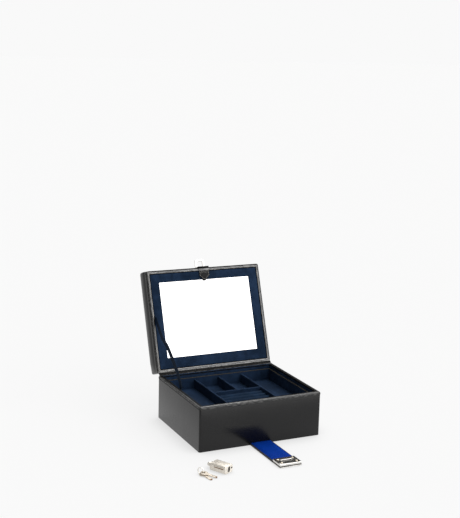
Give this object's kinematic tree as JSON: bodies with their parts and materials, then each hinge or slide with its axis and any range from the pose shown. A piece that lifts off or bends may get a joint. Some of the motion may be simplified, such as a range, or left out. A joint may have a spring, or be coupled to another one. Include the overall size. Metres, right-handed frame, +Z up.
{
  "type": "jewellery and cufflink box",
  "caption": "Leather-covered jewellery and cufflink box with a hinged mirrored lid, a lift-out divided tray with ring rolls, and a locking strap with its padlock and keys.",
  "frame": {"origin": "centre of the case's base, on the surface it stands on", "axes": "+Z up, +Y to the back of the case where the lid is hinged, -Y to the front where the strap is, +X to the right seen from the front"},
  "size_m": [0.2561, 0.3824, 0.2584],
  "materials": {
    "black_leather": "satin grained",
    "blue_leather": "satin",
    "polished_steel": "polished",
    "hinge_steel": "brushed",
    "mirror": "mirror",
    "lock_metal": "satin nickel",
    "plug_metal": "satin",
    "shackle_steel": "polished",
    "key_metal": "satin nickel",
    "ribbon": "woven",
    "base_felt": "felt",
    "edge_tape": "woven",
    "navy_suede": "suede",
    "card": "plain",
    "wood_board": "plain"
  },
  "bodies": {
    "case": {"base_board": "wood_board", "base_cover": "base_felt", "case_back_board": "wood_board", "case_front_board": "wood_board", "case_hinge_leaf_left": "hinge_steel", "case_hinge_leaf_right": "hinge_steel", "case_leather": "black_leather", "case_left_board": "wood_board", "case_right_board": "wood_board", "case_rim_binding": "black_leather", "case_wall_lining": "navy_suede", "floor_lining": "navy_suede", "hinge_pins": "hinge_steel", "lid_stay_ribbon": "ribbon", "strap_anchor": "black_leather", "tray_ledge": "navy_suede"},
    "lid": {"lid_back_board": "wood_board", "lid_front_board": "wood_board", "lid_hinge_leaf_left": "hinge_steel", "lid_hinge_leaf_right": "hinge_steel", "lid_leather": "black_leather", "lid_left_board": "wood_board", "lid_right_board": "wood_board", "lid_rim_binding": "black_leather", "lid_spacer_frame": "wood_board", "lid_staple": "polished_steel", "lid_tab": "black_leather", "lid_top_board": "wood_board", "mirror_backing": "card", "mirror_frame": "navy_suede", "mirror_glass": "mirror", "mirror_surround": "card"},
    "tray": {"ring_rolls": "navy_suede", "tray_back_wall": "navy_suede", "tray_cross_divider": "navy_suede", "tray_floor": "wood_board", "tray_floor_lining": "navy_suede", "tray_front_wall": "navy_suede", "tray_left_divider": "navy_suede", "tray_left_wall": "navy_suede", "tray_right_divider": "navy_suede", "tray_right_wall": "navy_suede", "tray_rim_tape": "edge_tape", "tray_short_divider": "navy_suede"},
    "strap": {"strap_leather": "black_leather", "strap_lining": "blue_leather", "strap_plate_inner": "polished_steel", "strap_plate_outer": "polished_steel"},
    "padlock": {"padlock_body": "lock_metal"},
    "lock_plug": {"padlock_plug": "plug_metal"},
    "shackle": {"padlock_shackle": "shackle_steel"},
    "key_ring": {"key_ring": "key_metal"},
    "key_one": {"key_one": "key_metal"},
    "key_two": {"key_two": "key_metal"}
  },
  "joints": [
    {"name": "lid_hinge", "type": "hinge", "parent": "case", "child": "lid", "pos_m": [0, 0.0919, 0.0766], "axis": [-1, 0, 0], "range_deg": [-110, 0], "deforming": ["lid_stay_ribbon"]},
    {"name": "strap_fold", "type": "hinge", "parent": "case", "child": "strap", "pos_m": [0, -0.093, 0.0055], "axis": [1, 0, 0], "range_deg": [-90, 0]},
    {"name": "tray_lift", "type": "slide", "parent": "case", "child": "tray", "axis": [0, 0, 1], "range_m": [0, 0.12]},
    {"name": "padlock_lift", "type": "slide", "parent": "case", "child": "padlock", "axis": [0, 0, 1], "range_m": [0, 0.1]},
    {"name": "shackle_pull", "type": "slide", "parent": "padlock", "child": "shackle", "axis": [-0.4695, 0.8829, 0], "range_m": [0, 0.006]},
    {"name": "plug_turn", "type": "hinge", "parent": "padlock", "child": "lock_plug", "pos_m": [-0.1001, -0.1812, 0.0063], "axis": [-0.4695, 0.8829, 0], "range_deg": [0, 90]},
    {"name": "key_ring_lift", "type": "slide", "parent": "case", "child": "key_ring", "axis": [0, 0, 1], "range_m": [0, 0.1]},
    {"name": "key_one_swing", "type": "hinge", "parent": "key_ring", "child": "key_one", "pos_m": [-0.13986, -0.17409, 0.00425], "axis": [0.0644, -0.0824, 0.9945], "range_deg": [-3, 35]},
    {"name": "key_two_swing", "type": "hinge", "parent": "key_ring", "child": "key_two", "pos_m": [-0.14046, -0.1728, 0.00195], "axis": [0.0087, -0.041, 0.9991], "range_deg": [-35, 3]}
  ]
}
